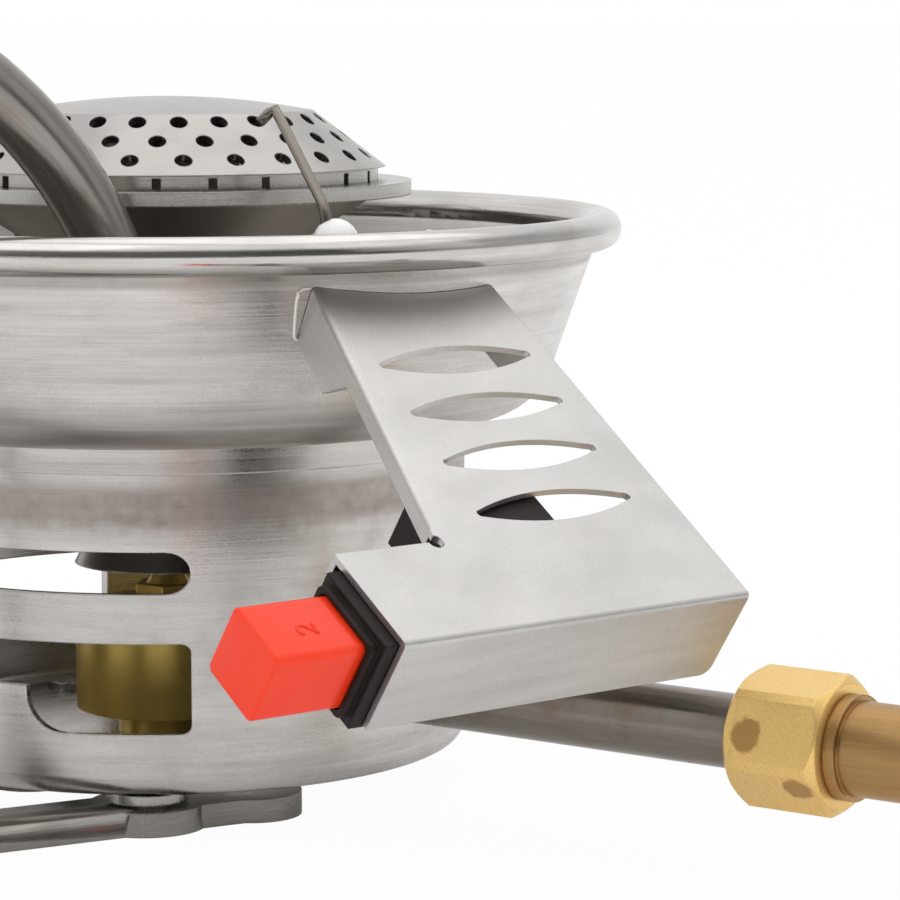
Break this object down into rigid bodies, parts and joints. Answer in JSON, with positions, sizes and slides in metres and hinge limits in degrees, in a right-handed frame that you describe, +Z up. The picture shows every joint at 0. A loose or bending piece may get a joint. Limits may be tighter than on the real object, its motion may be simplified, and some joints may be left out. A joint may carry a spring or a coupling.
{
  "type": "camping gas stove",
  "caption": "Remote-inlet camping gas stove with a rolled-rim bowl on a vented cup, a perforated burner, swinging bar legs that hold the pot, and a push-button igniter on a slotted arm.",
  "frame": {"origin": "on the ground under the burner axis", "axes": "+Z up along the burner axis, +X along the gas pipe towards its inlet"},
  "size_m": [0.2227, 0.1552, 0.0958],
  "materials": {
    "bowl_steel": "satin spun stainless steel",
    "cup_steel": "satin pressed stainless steel",
    "burner_steel": "bright pressed stainless steel",
    "tube_steel": "drawn steel",
    "fastener_steel": "plated steel",
    "pipe_steel": "dark drawn steel with heat tints",
    "leg_steel": "dark satin drawn bar",
    "bracket_steel": "brushed stainless sheet",
    "electrode_steel": "drawn wire",
    "brass_body": "turned brass",
    "brass_nut": "machined brass with tarnish spots",
    "brass_stem": "dull brown brass",
    "black_plastic": "moulded black plastic",
    "red_plastic": "moulded orange-red plastic",
    "ceramic": "white ceramic",
    "lead_rubber": "black insulation"
  },
  "bodies": {
    "stove": {"bowl": "bowl_steel", "lower_cup": "cup_steel", "burner_pan": "burner_steel", "burner_head": "burner_steel", "mixing_tube": "tube_steel", "tube_screws": "fastener_steel", "jet_block": "brass_body", "jet": "brass_body", "gas_pipe": "pipe_steel", "pipe_ferrule": "brass_body", "hose_connector": "brass_stem", "igniter_bracket": "bracket_steel", "piezo_body": "black_plastic", "electrode_ceramic": "ceramic", "electrode_rod": "electrode_steel", "ignition_lead": "lead_rubber", "leg_pins": "fastener_steel", "leg_washers": "fastener_steel", "leg_bushes": "fastener_steel"},
    "front_leg": {"front_leg": "leg_steel"},
    "middle_leg": {"middle_leg": "leg_steel"},
    "back_leg": {"back_leg": "leg_steel"},
    "button": {"piezo_button": "red_plastic"},
    "nut": {"union_nut": "brass_nut"}
  },
  "joints": [
    {"name": "front_leg_swing", "type": "hinge", "parent": "stove", "child": "front_leg", "pos_m": [0.01707, -0.02394, 0], "axis": [0, 0, 1], "range_deg": [0, 91]},
    {"name": "middle_leg_swing", "type": "hinge", "parent": "stove", "child": "middle_leg", "pos_m": [-0.0189, -0.02252, 0], "axis": [0, 0, 1], "range_deg": [-20, 20]},
    {"name": "back_leg_swing", "type": "hinge", "parent": "stove", "child": "back_leg", "pos_m": [-0.02654, 0.01266, 0], "axis": [0, 0, 1], "range_deg": [-105, 0]},
    {"name": "igniter_button_press", "type": "slide", "parent": "stove", "child": "button", "axis": [0.2419, 0.9703, 0], "range_m": [0, 0.004], "stiffness_N_per_m": 600, "springref_m": -0.003},
    {"name": "union_nut_turn", "type": "hinge", "parent": "stove", "child": "nut", "pos_m": [0.0865, 0, 0.014], "axis": [1, 0, 0], "continuous": true}
  ]
}
